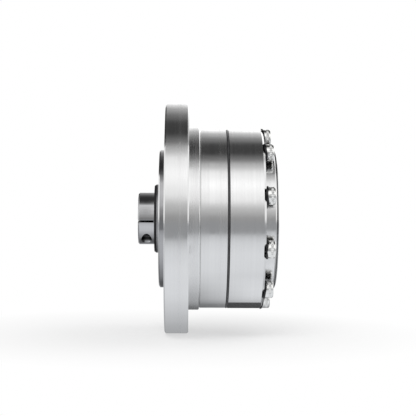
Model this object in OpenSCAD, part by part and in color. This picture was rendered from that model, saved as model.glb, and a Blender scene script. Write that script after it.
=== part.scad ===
// Strain wave gear unit with a crossed-roller output bearing and a clamp hub for the motor shaft.
// The axis runs along X: -X is the input side and +X the output side. The origin is on the axis,
// at the face of the mounting flange that meets the machine.

/* [Mounting flange] */
// Thickness of the flange
flange_t = 9.4; // [8.8:0.1:13]
// Width of the flange outside the shoulder
flange_rim = 9.5; // [9:0.1:14]
// Width of the edge break on the turned outer corners
edge_break = 0.5; // [0.2:0.1:0.8]
// Width of the shoulder between the flange and the ring gear
shoulder_w = 4.3; // [3.9:0.1:7]
// How far the shoulder stands out from the ring gear
shoulder_step = 0.8; // [0.3:0.1:1.6]
// Diameter of the pilot on the input side
pilot_d = 56; // [54:0.5:62]
// Height of the pilot
pilot_h = 2.4; // [1.6:0.1:3.6]
// Number of mounting holes
mount_holes = 6; // [3:1:8]
// Diameter of the mounting holes
mount_hole_d = 5.5; // [4.5:0.1:5.8]
// Distance from the rim of the flange to the centre of a mounting hole
mount_inset = 4.5; // [4:0.1:5]
// Number of tapped holes for the motor, in the pilot's face
motor_taps = 4; // [3:1:6]
// Tap drill of the motor holes
motor_tap_d = 3.3; // [2.5:0.1:4.2]
// Depth of the motor holes
motor_tap_depth = 8; // [5:0.5:10]
// Bolt circle of the motor holes
motor_pcd = 44; // [42:0.5:45.5]

/* [Body] */
// Width of the ring gear
ring_gear_w = 11.5; // [11:0.1:15]
// Width of the bearing's outer ring
outer_ring_w = 13.7; // [13.2:0.1:17]
// How far the outer ring stands out from the ring gear
ring_step = 0.1; // [0:0.05:0.3]
// Chamfer of the outer ring on the output side
ring_chamfer = 0.8; // [0.3:0.1:1.2]
// Chamfer on each side of the joint between shoulder and ring gear
joint_chamfer = 0.35; // [0.1:0.05:0.6]
// Width of the flat on the side of the outer ring
flat_w = 11; // [7:0.5:14]
// Section of the O-ring between the ring gear and the outer ring
body_seal_d = 1; // [0.8:0.1:1.4]
// Section of the O-ring between the flange and the ring gear
face_seal_d = 1.2; // [0.8:0.1:1.4]

/* [Housing screws] */
// Number of housing screws
screw_count = 10; // [6:1:12]
// Angle of the first screw, from the front towards the underside
screw_turn = 20; // [0:1:35]
// Thread diameter of the housing screws
screw_d = 4; // [3:0.5:4]
// Length of the housing screws under the head
screw_l = 35; // [33:0.5:36]
// Diameter of the screw heads
screw_head_d = 7; // [6:0.1:7.4]
// Height of the screw heads, which are of the low kind
screw_head_h = 2.8; // [2.4:0.1:4]
// Width across the flats of the sockets in the heads
screw_socket = 2.5; // [2:0.5:3]
// Outer diameter of the spring washers under the heads
washer_d = 7.6; // [7:0.1:7.8]
// Thickness of the spring washers
washer_t = 0.6; // [0.4:0.05:0.8]
// Bend radius of the spring washers on their hollow side
washer_bend = 12; // [10:0.5:20]
// Clearance of a screw shank in its through hole
screw_play = 0.2; // [0.1:0.05:0.3]
// Wall between the roller track and a screw hole
screw_wall = 0.35; // [0.3:0.05:1.5]
// Distance from the bolt circle to the outside of the outer ring
screw_rim = 3.3; // [3.1:0.1:5]

/* [Gear set] */
// Tooth module
tooth_module = 0.5; // [0.47:0.01:0.54]
// Number of teeth of the flexspline; the ring gear has two more
flex_teeth = 100; // [96:2:106]
// Height of a tooth outside its pitch line
tooth_add = 0.35; // [0.25:0.01:0.38]
// Depth of a tooth space inside its pitch line
tooth_ded = 0.45; // [0.4:0.01:0.5]
// Thickness of a tooth at its pitch line
tooth_t = 0.7; // [0.62:0.01:0.72]
// Slope of a tooth flank
flank_angle = 28; // [20:1:30]
// Length of the flexspline's teeth
tooth_w = 9.6; // [9:0.1:10]
// Wall under the flexspline's teeth
rim_wall = 0.55; // [0.45:0.05:0.8]
// Wall of the flexspline's cup
cup_wall = 0.45; // [0.3:0.05:0.5]
// Thickness of the bottom of the cup
cup_floor = 0.6; // [0.4:0.05:0.9]
// Thickness of the boss in the bottom of the cup
boss_t = 2.9; // [2.4:0.1:3.5]

/* [Wave generator] */
// Diameter of the balls
wave_ball_d = 3.6; // [3.2:0.1:3.8]
// Number of balls
wave_balls = 23; // [17:1:25]
// Thickness of each flexible race
wave_race_t = 1.6; // [1.4:0.05:1.7]
// Depth of the ball track in a race
wave_track = 0.45; // [0.3:0.05:0.6]
// Width of the races
wave_race_w = 8.6; // [7.6:0.1:9]
// Number of screws that hold the cam to the hub
cam_screws = 4; // [3:1:4]
// Thread diameter of those screws
cam_screw_d = 3; // [2.5:0.5:3]
// Bolt circle of those screws
cam_pcd = 14; // [13.5:0.1:14.2]

/* [Input hub] */
// Outer diameter of the hub
hub_d = 21; // [20.8:0.1:22]
// How far the hub reaches out from the flange's mounting face
hub_reach = 10.9; // [10:0.1:14]
// Bore for the motor shaft
shaft_d = 8; // [6:0.5:9]
// Depth of that bore
shaft_depth = 19; // [14:0.5:20]
// Width of the slit in the clamp
slit_w = 0.8; // [0.5:0.1:1.2]
// Length of the slit
slit_l = 6.2; // [5:0.1:6.3]
// Angle of the slit, from the front towards the underside
slit_turn = 6; // [-10:1:20]
// Thread diameter of the clamp screw
clamp_screw_d = 2; // [1.6:0.1:2]
// Head diameter of the clamp screw
clamp_head_d = 3.8; // [3.2:0.1:3.8]
// Distance from the axis to the clamp screw
clamp_offset = 7.1; // [6.8:0.1:7.3]
// Distance from the end of the hub to the clamp screw
clamp_inset = 3.4; // [2.8:0.1:3.8]

/* [Input bearing and seal] */
// Bore of the ball bearing
bearing_bore = 20; // [19:0.1:20.2]
// Outer diameter of the ball bearing
bearing_od = 32; // [31.5:0.1:33]
// Width of the ball bearing
bearing_w = 7; // [6:0.5:7]
// Diameter of its balls
bearing_ball_d = 3.5; // [3:0.1:3.6]
// Number of its balls
bearing_balls = 13; // [9:1:14]
// Thickness of the snap rings
circlip_t = 1.2; // [0.8:0.1:1.3]
// Outer diameter of the input seal
seal_d = 27.8; // [27:0.1:28.4]
// Width of the input seal
seal_w = 6; // [5.4:0.1:6.2]
// How far the input seal stands out from the pilot
seal_stand = 2; // [1.2:0.1:2.4]

/* [Output] */
// How far the output face stands out from the outer ring
out_stand = 5.3; // [5:0.1:8]
// Thickness of the output ring's web
web_t = 7.3; // [7:0.1:8]
// Height of the raised output face
face_h = 0.8; // [0.4:0.1:1.2]
// Step between the output ring's rim and its raised face
face_step = 0.6; // [0.3:0.1:1.2]
// Number of tapped holes in the output face
out_taps = 8; // [4:1:10]
// Tap drill of the output holes
out_tap_d = 3.3; // [2.5:0.1:4.2]
// Depth of the output holes
out_tap_depth = 6; // [4:0.5:6]
// Bolt circle of the output holes
out_pcd = 48; // [47:0.5:50]
// Diameter of the centring recess in the output face
recess_d = 14; // [8:0.5:16]
// Depth of the centring recess
recess_depth = 3; // [1:0.5:3]
// Number of screws that hold the flexspline to the output ring
flex_screws = 8; // [6:1:8]
// Thread diameter of those screws
flex_screw_d = 3; // [2.5:0.5:3]
// Bolt circle of those screws
flex_pcd = 21; // [20.6:0.1:22]
// Thickness of the washer under those screws
flex_washer_t = 2; // [1:0.1:2.5]

/* [Output bearing] */
// Diameter of the crossed rollers
roller_d = 3; // [2.8:0.1:3.2]
// Number of crossed rollers
rollers = 40; // [30:2:40]
// Distance from the outer ring's input side to the middle of the track
track_inset = 6.3; // [5.5:0.1:6.5]
// Gap between the cup and the output ring around it
cup_gap = 0.8; // [0.7:0.05:1]
// Wall between the output ring's bore and its roller track
track_wall = 0.9; // [0.8:0.05:1.2]
// Gap between the two bearing rings
ring_gap = 0.25; // [0.2:0.05:0.4]
// Diameter of the plug in the roller filling hole
filling_d = 4.4; // [4:0.1:4.8]
// Diameter of the pin that locks the plug
filling_pin_d = 1.5; // [1:0.1:1.6]
// Width of the output seal
out_seal_w = 2.6; // [2:0.1:2.8]
// How far the output seal lies inside the outer ring
out_seal_inset = 0.65; // [0.3:0.05:0.9]

/* [Hidden] */

$fn = 96;

// Clearance of fixed fits, such as a bearing ring in its seat
fit = 0.02;
// Clearance of a seal's lip on its shaft
lip_gap = 0.05;
// Clearance between faces that pass each other
face_gap = 0.3;
// Overlap of a cut past the face that it opens
cut = 1;

// Gear set: the flexspline is bent so that its long axis meets the ring gear's pitch circle.
tooth_pitch = PI * tooth_module;
spline_teeth = flex_teeth + 2;
flex_pitch_r = flex_teeth * tooth_module / 2;
spline_pitch_r = spline_teeth * tooth_module / 2;
bend = spline_pitch_r - flex_pitch_r;
flex_bore_r = flex_pitch_r - tooth_ded - rim_wall;
cup_r = flex_bore_r + cup_wall;
// An oval of four arcs that meet at 45 degrees: its centres lie off the axis by oval_off,
// and its arcs differ from the mean radius by oval_step.
oval_off = 2 * bend / (2 - sqrt(2));
oval_step = oval_off - bend;

// Output bearing: rollers stand across the track, so it is a square turned by 45 degrees.
roller_fit = 0.02;
roller_l = roller_d - 0.15;
track_half = (roller_d / 2 + roller_fit) * sqrt(2);
ring_bore_r = cup_r + cup_gap;
track_r = ring_bore_r + track_wall + track_half;
journal_r = track_r - ring_gap / 2;
screw_hole_r = screw_d / 2 + screw_play;
screw_circle_r = track_r + track_half + screw_wall + screw_hole_r;
outer_ring_r = screw_circle_r + screw_rim;
ring_gear_r = outer_ring_r - ring_step;
shoulder_r = ring_gear_r + shoulder_step;
flange_r = shoulder_r + flange_rim;
mount_circle_r = flange_r - mount_inset;

// Places along the axis
shoulder_x = flange_t + shoulder_w;
outer_ring_x = shoulder_x + ring_gear_w;
body_end_x = outer_ring_x + outer_ring_w;
track_x = outer_ring_x + track_inset;
// A spring washer is bent across the ring and stands on the edges of the ring's face: the outer
// edge is nearest in the middle, and the round inner edge where the washer's rim crosses it.
washer_r = washer_d / 2;
face_in_r = out_seal_r() + fit;
face_reach = (screw_circle_r * screw_circle_r + washer_r * washer_r - face_in_r * face_in_r)
  / (2 * screw_circle_r);
washer_foot = min(washer_r, max(screw_rim - ring_chamfer, face_reach));
washer_rise = washer_bend - sqrt(washer_bend * washer_bend - washer_foot * washer_foot);
screw_seat_x = body_end_x + washer_rise + washer_t;
out_face_x = body_end_x + out_stand;
web_x = out_face_x - web_t;
seal_x = -pilot_h - seal_stand;
bearing_land = 0.6;
bearing_x = seal_x + seal_w + bearing_land;
circlip_x = bearing_x + bearing_w;
circlip_play = 0.05;
circlip_seat = 0.5;
hub_end_x = circlip_x + circlip_t + 1.8;
cavity_x = hub_end_x - 0.8;
flex_x = shoulder_x + 0.7;
tooth_end_x = flex_x + tooth_w;
wave_x = flex_x + 0.2;
wave_mid_x = wave_x + wave_race_w / 2;
cam_end_x = wave_x + wave_race_w;
boss_x = web_x - boss_t;
washer_x = boss_x - flex_washer_t;

// Input side
seal_r = seal_d / 2;
seat_r = bearing_bore / 2;
housing_bore_r = bearing_od / 2;
journal_step = 0.1;
seal_land = 1.4;
seal_journal_r = hub_d / 2 - journal_step;
nose_r = 4.5;
nose_l = 2;
tap_margin = 1.2;
cavity_r = spline_pitch_r + tooth_ded + 0.5;

// Wave generator, from the outside in
race_fit = 0.08;
wave_outer_r = flex_bore_r - race_fit;
wave_ball_r = wave_ball_d / 2;
wave_path_r = wave_outer_r - wave_race_t + wave_track - wave_ball_r;
wave_inner_r = wave_path_r - wave_ball_r + wave_track - wave_race_t;
cam_r = wave_inner_r - fit;
ball_fit = 0.05;
cam_boss_r = seat_r;

// Screws: proportions of a socket-head screw
socket_depth = 0.5;
head_ratio = 1.85;
head_bevel = 0.09;

// Turns a shape made along Z so that it lies along X
module along_x() {
  rotate([0, 90, 0]) children();
}

// Turns a shape from the front (-Y) by an angle towards the underside (-Z)
module from_front(angle) {
  rotate([0, 0, angle - 90]) children();
}

// Copies evenly round the axis, at radius r
module round_axis(count, r, start = 0) {
  for (i = [0:count - 1]) from_front(start + 360 * i / count) translate([r, 0, 0]) children();
}

// Plain turned ring between two places along the axis
module turned_ring(x0, x1, r_in, r_out) {
  rotate_extrude() translate([r_in, x0]) square([r_out - r_in, x1 - x0]);
}

// Turned disc with its outer corners broken by a and b
module turned_disc(x0, x1, r, a, b) {
  rotate_extrude() polygon([[0, x0], [r - a, x0], [r, x0 + a], [r, x1 - b], [r - b, x1], [0, x1]]);
}

// Round hole from x0 to x1, at the place of the children's frame
module hole(x0, x1, r) {
  translate([0, 0, x0]) cylinder(h = x1 - x0, r = r);
}

// Socket-head screw: its head stands on z = 0 and its shank points to -z
module socket_screw(d, l, head_d, head_h, socket) {
  bevel = head_bevel * head_d;
  difference() {
    union() {
      translate([0, 0, -l]) cylinder(h = l + bevel, r = d / 2 - fit);
      rotate_extrude() polygon([
        [0, 0], [head_d / 2, 0], [head_d / 2, head_h - bevel], [head_d / 2 - bevel, head_h], [0, head_h]
      ]);
    }
    translate([0, 0, head_h * (1 - socket_depth)]) cylinder(h = head_h, r = socket / sqrt(3), $fn = 6);
  }
}

// Angle of the oval's normal at arc length s from the end of its long axis, at mean radius r
function oval_angle(s, r) =
  let (
    sharp = (r - oval_step) * PI / 4,
    n = floor((s + sharp) / (PI * r)),
    u = s - n * PI * r
  )
  180 * n + (u < sharp ? u / (r - oval_step) : PI / 4 + (u - sharp) / (r + oval_step)) * 180 / PI;

// Point of the oval of mean radius r where its normal has the given angle
function oval_point(angle, r) =
  let (
    arc = floor((angle + 45) / 90),
    flat = abs(arc) % 2 == 1,
    radius = flat ? r + oval_step : r - oval_step
  )
  oval_off * [cos(90 * arc), -sin(90 * arc)] + radius * [cos(angle), sin(angle)];

// Revolves a profile round the four arcs of the oval, with x as its mean radius.
// The arcs meet at 45 degrees, so each centre is as far off the axis both ways as its radius differs.
module oval_turn() {
  rotate([0, 0, -45]) for (arc = [0:3]) {
    step = arc % 2 == 1 ? oval_step : -oval_step;
    rotate([0, 0, 90 * arc]) translate([-step, -step, 0])
      rotate_extrude(angle = 90) translate([step, 0]) children();
  }
}

// Solid oval disc of mean radius r
module oval_disc(x0, x1, r) {
  core = r / 2;
  oval_turn() translate([core, x0]) square([r - core, x1 - x0]);
  hole(x0, x1, core + 2 * bend);
}

// Outline of gear teeth: place maps an arc length along the pitch line and a height to a point.
// side is 1 for teeth that point outwards and -1 for teeth that point inwards.
function tooth_outline(count, side) = [
  for (i = [0:count - 1], corner = [[-1, -tooth_ded], [-1, tooth_add], [1, tooth_add], [1, -tooth_ded]])
    [i * tooth_pitch + corner[0] * (tooth_t / 2 - corner[1] * tan(flank_angle)), side * corner[1]]
];
function flex_outline() = [
  for (p = tooth_outline(flex_teeth, 1)) oval_point(oval_angle(p[0], flex_pitch_r), flex_pitch_r + p[1])
];
function spline_outline() = [
  for (p = tooth_outline(spline_teeth, -1))
    let (angle = (p[0] / tooth_pitch + 0.5) * 360 / spline_teeth)
    (spline_pitch_r + p[1]) * [cos(angle), sin(angle)]
];

// Turned blank of the mounting flange, with its pilot and shoulder
module flange_blank() {
  turned_disc(-pilot_h, edge_break, pilot_d / 2, edge_break, 0);
  turned_disc(0, flange_t, flange_r, edge_break, edge_break);
  turned_disc(flange_t - edge_break, shoulder_x, shoulder_r, 0, joint_chamfer);
}

// Mounting flange, machined from one piece of steel
module motor_flange() {
  thread_x = screw_seat_x - screw_l - tap_margin;
  groove_r = face_seal_r();
  groove_half = 0.75 * face_seal_d;
  color("silver") along_x() difference() {
    flange_blank();
    hole(-pilot_h - cut, bearing_x - bearing_land, seal_r + fit);
    hole(-pilot_h - cut, bearing_x + cut, seal_r - seal_land);
    hole(bearing_x, cavity_x + cut, housing_bore_r + fit);
    hole(circlip_x, circlip_x + circlip_t + 2 * circlip_play, housing_bore_r + circlip_seat);
    hole(cavity_x, shoulder_x + cut, cavity_r);
    turned_ring(shoulder_x - face_seal_d - 2 * fit, shoulder_x + cut,
      groove_r - groove_half, groove_r + groove_half);
    round_axis(mount_holes, mount_circle_r, screw_turn) hole(-cut, flange_t + cut, mount_hole_d / 2);
    round_axis(motor_taps, motor_pcd / 2, 45)
      hole(-pilot_h - cut, motor_tap_depth - pilot_h, motor_tap_d / 2);
    round_axis(screw_count, screw_circle_r, screw_turn) hole(thread_x, shoulder_x + cut, screw_d / 2);
  }
}

// Radius of the face seal, midway between the cavity and the screw holes
function face_seal_r() = (cavity_r + screw_circle_r - screw_hole_r) / 2;

// O-ring in the face of the flange
module flange_o_ring() {
  color("black") along_x() rotate_extrude()
    translate([face_seal_r(), shoulder_x - face_seal_d / 2 - fit]) circle(r = face_seal_d / 2);
}

// Ring gear with internal teeth, and a rebate for the O-ring at its output end
module circular_spline() {
  rebate = body_seal_d + 2 * fit;
  color("silver") along_x() difference() {
    turned_disc(shoulder_x, outer_ring_x, ring_gear_r, joint_chamfer, 0);
    translate([0, 0, shoulder_x - cut]) linear_extrude(ring_gear_w + 2 * cut) polygon(spline_outline());
    turned_ring(outer_ring_x - rebate, outer_ring_x + cut, outer_ring_r - rebate, ring_gear_r + cut);
    round_axis(screw_count, screw_circle_r, screw_turn)
      hole(shoulder_x - cut, outer_ring_x + cut, screw_hole_r);
  }
}

// O-ring in the joint between the ring gear and the outer ring
module body_o_ring() {
  seal_half = body_seal_d / 2;
  color("black") along_x() rotate_extrude()
    translate([outer_ring_r - seal_half, outer_ring_x - seal_half - fit]) circle(r = seal_half);
}

// Square track for crossed rollers, turned round the axis
module roller_track() {
  rotate_extrude() polygon([
    [track_r - track_half, track_x], [track_r, track_x - track_half],
    [track_r + track_half, track_x], [track_r, track_x + track_half]
  ]);
}

// Angle halfway between two housing screws, where the filling hole is
filling_turn = screw_turn + 540 / screw_count;

// Outer ring before its holes are drilled
module outer_ring_blank() {
  flat_depth = outer_ring_r - sqrt(outer_ring_r * outer_ring_r - flat_w * flat_w / 4);
  difference() {
    turned_disc(outer_ring_x, body_end_x, outer_ring_r, 0, ring_chamfer);
    hole(outer_ring_x - cut, body_end_x + cut, track_r + ring_gap / 2);
    roller_track();
    from_front(filling_turn) translate([outer_ring_r - flat_depth, -flat_w, outer_ring_x - cut])
      cube([flat_depth + cut, 2 * flat_w, outer_ring_w + 2 * cut]);
  }
}

// Place of the filling hole, across the ring
module filling_hole(r) {
  from_front(filling_turn) translate([track_r, 0, track_x]) rotate([0, 90, 0])
    cylinder(h = outer_ring_r - track_r + cut, r = r);
}

// Place of the pin that locks the filling plug
module filling_pin_hole(r) {
  from_front(filling_turn) translate([screw_circle_r, 0, track_x])
    cylinder(h = body_end_x - track_x - fit, r = r);
}

// Outer ring of the crossed-roller bearing
module bearing_outer_ring() {
  seal_end_x = body_end_x - out_seal_inset;
  color("silver") along_x() difference() {
    outer_ring_blank();
    hole(seal_end_x - out_seal_w - 3 * fit, body_end_x + cut, face_in_r);
    round_axis(screw_count, screw_circle_r, screw_turn)
      hole(outer_ring_x - cut, body_end_x + cut, screw_hole_r);
    filling_hole(filling_d / 2);
    translate([0, 0, cut]) filling_pin_hole(filling_pin_d / 2);
    filling_pin_hole(filling_pin_d / 2);
  }
}

// Plug that closes the hole through which the rollers go in
module roller_filling_plug() {
  color("silver") along_x() difference() {
    intersection() {
      outer_ring_blank();
      filling_hole(filling_d / 2 - fit);
    }
    filling_pin_hole(filling_pin_d / 2);
  }
}

// Pin that locks the filling plug
module filling_plug_pin() {
  color("silver") along_x() filling_pin_hole(filling_pin_d / 2 - fit);
}

// Screws that hold the outer ring and the ring gear to the flange
module housing_screws() {
  color("lightgray") along_x() round_axis(screw_count, screw_circle_r, screw_turn)
    translate([0, 0, screw_seat_x])
      socket_screw(screw_d, screw_l, screw_head_d, screw_head_h, screw_socket);
}

// Split spring washers under the heads of the housing screws. Each is a sheet bent round an axis
// that runs along the ring, so that its middle carries the head.
module lock_washers() {
  split = 0.7;
  slant = 20;
  bend_x = body_end_x + washer_rise - washer_bend;
  color("dimgray") along_x() for (i = [0:screw_count - 1])
    from_front(screw_turn + 360 * i / screw_count) translate([screw_circle_r, 0, 0]) difference() {
      intersection() {
        turned_ring(bend_x, screw_seat_x + cut, screw_d / 2 + fit, washer_r);
        bend_roll(bend_x, washer_bend + washer_t);
      }
      bend_roll(bend_x, washer_bend);
      rotate([0, 0, 75 * i]) translate([washer_r, 0, body_end_x + washer_rise]) rotate([slant, 0, 0])
        cube([washer_d, split, 4 * washer_t], center = true);
    }
}

// Roll of radius r that a spring washer is bent over, with its axis at x
module bend_roll(x, r) {
  translate([0, 0, x]) rotate([90, 0, 0]) cylinder(h = 2 * washer_d, r = r, center = true);
}

// Outer radius of the output seal, inside the wall of the screw holes
function out_seal_r() = screw_circle_r - screw_hole_r - screw_wall - lip_gap;

// Rubber seal between the outer ring and the output ring
module output_oil_seal() {
  x1 = body_end_x - out_seal_inset - fit;
  x0 = x1 - out_seal_w;
  r0 = journal_r + lip_gap;
  r1 = out_seal_r();
  wall = 0.6;
  color("black") along_x() rotate_extrude() polygon([
    [r1 - wall, x0], [r1, x0], [r1, x1], [r0, x1], [r0, x1 - wall / 2], [r0 + wall / 2, x1 - wall],
    [r1 - wall, x1 - wall]
  ]);
}

// Rubber shaft seal in the flange, with its lip on the hub
module input_oil_seal() {
  x1 = seal_x + seal_w - fit;
  r0 = seal_journal_r + lip_gap;
  r1 = seal_r;
  wall = 0.9;
  color("black") along_x() rotate_extrude() polygon([
    [r1 - wall, x1], [r1 - wall, seal_x + 2.6], [r0 + wall, seal_x + 2.6], [r0 + wall / 2, seal_x + 4],
    [r0, seal_x + 3], [r0, seal_x + 1.4], [r0 + wall / 2, seal_x], [r1 - 0.5, seal_x],
    [r1, seal_x + 0.8], [r1, x1]
  ]);
}

// Middle of the input bearing's ball track
bearing_path_r = (seat_r + housing_bore_r) / 2;
bearing_mid_x = bearing_x + bearing_w / 2;
bearing_race_gap = 1.1;

// Cuts the ball track of the input bearing into its rings
module bearing_track() {
  translate([bearing_path_r, bearing_mid_x]) circle(r = bearing_ball_d / 2 + ball_fit);
}

// Outer ring of the input ball bearing
module input_bearing_outer_ring() {
  color("gainsboro") along_x() rotate_extrude() difference() {
    translate([bearing_path_r + bearing_race_gap, bearing_x])
      square([housing_bore_r - bearing_path_r - bearing_race_gap, bearing_w]);
    bearing_track();
  }
}

// Inner ring of the input ball bearing
module input_bearing_inner_ring() {
  color("gainsboro") along_x() rotate_extrude() difference() {
    translate([seat_r + fit, bearing_x])
      square([bearing_path_r - bearing_race_gap - seat_r - fit, bearing_w]);
    bearing_track();
  }
}

// Balls of the input ball bearing
module input_bearing_balls() {
  color("white") along_x() round_axis(bearing_balls, bearing_path_r)
    translate([0, 0, bearing_mid_x]) sphere(r = bearing_ball_d / 2);
}

// Cage of the input ball bearing, with a round pocket for each ball
module input_bearing_cage() {
  half_w = 0.68 * bearing_ball_d;
  half_t = bearing_race_gap - 0.4;
  color("khaki") along_x() difference() {
    turned_ring(bearing_mid_x - half_w, bearing_mid_x + half_w,
      bearing_path_r - half_t, bearing_path_r + half_t);
    round_axis(bearing_balls, bearing_path_r) translate([0, 0, bearing_mid_x])
      rotate([0, 90, 0]) cylinder(h = 4 * half_t, r = bearing_ball_d / 2 + 2 * ball_fit, center = true);
  }
}

// Snap ring of radius r0 to r1, open at one side, with an eye on each end
module circlip(r0, r1, eye_r) {
  x0 = circlip_x + circlip_play;
  mid_r = (r0 + r1) / 2;
  open = 22;
  difference() {
    union() {
      turned_ring(x0, x0 + circlip_t, r0, r1);
      for (side = [-1, 1]) rotate([0, 0, side * open]) translate([mid_r, 0, 0])
        hole(x0, x0 + circlip_t, eye_r);
    }
    linear_extrude(2 * circlip_x)
      polygon([[0, 0], 2 * r1 * [cos(open - 6), -sin(open - 6)], 2 * r1 * [cos(open - 6), sin(open - 6)]]);
    for (side = [-1, 1]) rotate([0, 0, side * open]) translate([mid_r, 0, 0])
      hole(x0 - cut, x0 + circlip_t + cut, eye_r / 2);
  }
}

// Snap ring that holds the bearing's outer ring in the flange
module bearing_circlip() {
  color("dimgray") along_x()
    circlip(housing_bore_r - 1.6, housing_bore_r + circlip_seat - circlip_play, 1.05);
}

// Snap ring that holds the bearing's inner ring on the hub
module hub_circlip() {
  color("dimgray") along_x() circlip(seat_r - circlip_seat + circlip_play, seat_r + 1.3, 0.9);
}

// Place of the clamp screw: across the slit, with its head on the lower side
module clamp_place() {
  from_front(slit_turn) translate([clamp_offset, clamp_seat(), clamp_inset - hub_reach])
    rotate([-90, 0, 0]) children();
}

// Distance from the slit's plane to the seat of the clamp screw's head
function clamp_seat() = hub_d * 0.2;

// Clamp hub and input shaft in one piece
module input_hub() {
  shank = clamp_l();
  color("silver") along_x() difference() {
    union() {
      turned_disc(-hub_reach, seal_x, hub_d / 2, edge_break, 0);
      turned_disc(seal_x - cut, bearing_x, seal_journal_r, 0, 0);
      turned_disc(bearing_x - cut, hub_end_x, seat_r, 0, 0);
      turned_disc(hub_end_x - cut, hub_end_x + nose_l, nose_r, 0, edge_break);
    }
    hole(-hub_reach - cut, shaft_depth - hub_reach, shaft_d / 2);
    turned_ring(circlip_x, circlip_x + circlip_t + 2 * circlip_play, seat_r - circlip_seat, seat_r + cut);
    from_front(slit_turn) translate([0, -slit_w / 2, -hub_reach - cut]) cube([hub_d, slit_w, slit_l + cut]);
    clamp_place() {
      cylinder(h = hub_d, r = clamp_head_d / 2 + 0.2);
      translate([0, 0, -shank - fit]) cylinder(h = shank + cut, r = clamp_screw_d / 2);
    }
    cam_screw_places() hole(hub_end_x - cam_tap(), hub_end_x + cut, cam_screw_d / 2);
  }
}

// Length of the clamp screw under its head
function clamp_l() = clamp_seat() + 5.5;

// Screw that closes the clamp
module clamp_screw() {
  color("dimgray") along_x() clamp_place()
    socket_screw(clamp_screw_d, clamp_l(), clamp_head_d, clamp_screw_d, clamp_screw_d * 0.75);
}

// Depth of the tapped holes for the cam's screws
function cam_tap() = 1.8 * cam_screw_d;

// Copies at the places of the cam's screws
module cam_screw_places() {
  round_axis(cam_screws, cam_pcd / 2, 45) children();
}

// Height and radius of the cam screws' heads, and the seat that they stand on
cam_head_r = cam_screw_d * head_ratio / 2;
cam_seat_x = cam_end_x - cam_screw_d - face_gap;

// Oval cam of the wave generator, with a lip that holds the inner race
module wave_generator_plug() {
  lip_w = 0.6;
  dish = 2.5;
  dish_r = cam_r - bend - dish;
  color("lightsteelblue") along_x() difference() {
    union() {
      turned_disc(hub_end_x, wave_x, cam_boss_r, edge_break, 0);
      oval_disc(wave_x - lip_w, wave_x, cam_r + lip_w);
      oval_disc(wave_x - fit, cam_end_x, cam_r);
    }
    hole(hub_end_x - cut, hub_end_x + nose_l + face_gap, nose_r + fit);
    turned_ring(cam_end_x - dish, cam_end_x + cut, cam_pcd / 2 + cam_head_r + 1, dish_r);
    cam_screw_places() {
      hole(hub_end_x - cut, cam_end_x + cut, cam_screw_d / 2 + fit);
      hole(cam_seat_x, cam_end_x + cut, cam_head_r + 0.1);
    }
  }
}

// Screws that hold the cam to the hub
module wave_generator_screws() {
  color("dimgray") along_x() cam_screw_places() translate([0, 0, cam_seat_x])
    socket_screw(cam_screw_d, cam_seat_x - hub_end_x + cam_tap() - 0.5, 2 * cam_head_r, cam_screw_d,
      cam_screw_d * 0.8);
}

// Cuts the ball track of the wave bearing into a race
module wave_race(r0, r1) {
  color("gainsboro") along_x() oval_turn() difference() {
    translate([r0, wave_x]) square([r1 - r0, wave_race_w]);
    translate([wave_path_r, wave_mid_x]) circle(r = wave_ball_r + ball_fit);
  }
}

// Flexible inner race, bent to the cam
module wave_bearing_inner_race() {
  wave_race(wave_inner_r, wave_inner_r + wave_race_t);
}

// Flexible outer race, bent to the cam
module wave_bearing_outer_race() {
  wave_race(wave_outer_r - wave_race_t, wave_outer_r);
}

// Copies at the places of the wave bearing's balls, evenly along the oval and square to it
module wave_ball_places() {
  for (i = [0:wave_balls - 1]) {
    angle = oval_angle(i * 2 * PI * wave_path_r / wave_balls, wave_path_r);
    place = oval_point(angle, wave_path_r);
    translate([place[0], place[1], wave_mid_x]) rotate([0, 0, angle]) children();
  }
}

// Balls of the wave bearing
module wave_bearing_balls() {
  color("white") along_x() wave_ball_places() sphere(r = wave_ball_r);
}

// Cage of the wave bearing, with a round pocket for each ball
module wave_bearing_cage() {
  half_w = 0.85 * wave_ball_d;
  half_t = wave_ball_r - wave_track - 0.4;
  color("khaki") along_x() difference() {
    oval_turn() translate([wave_path_r - half_t, wave_mid_x - half_w]) square([2 * half_t, 2 * half_w]);
    wave_ball_places() rotate([0, 90, 0])
      cylinder(h = 4 * half_t, r = wave_ball_r + 2 * ball_fit, center = true);
  }
}

// Copies at the places of the flexspline's screws
module flex_screw_places() {
  round_axis(flex_screws, flex_pcd / 2) children();
}

// Inner and outer radius of the boss in the cup's bottom, and of the washer on it
boss_in_r = flex_pcd / 2 - flex_screw_d;
boss_out_r = flex_pcd / 2 + flex_screw_d;

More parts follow.
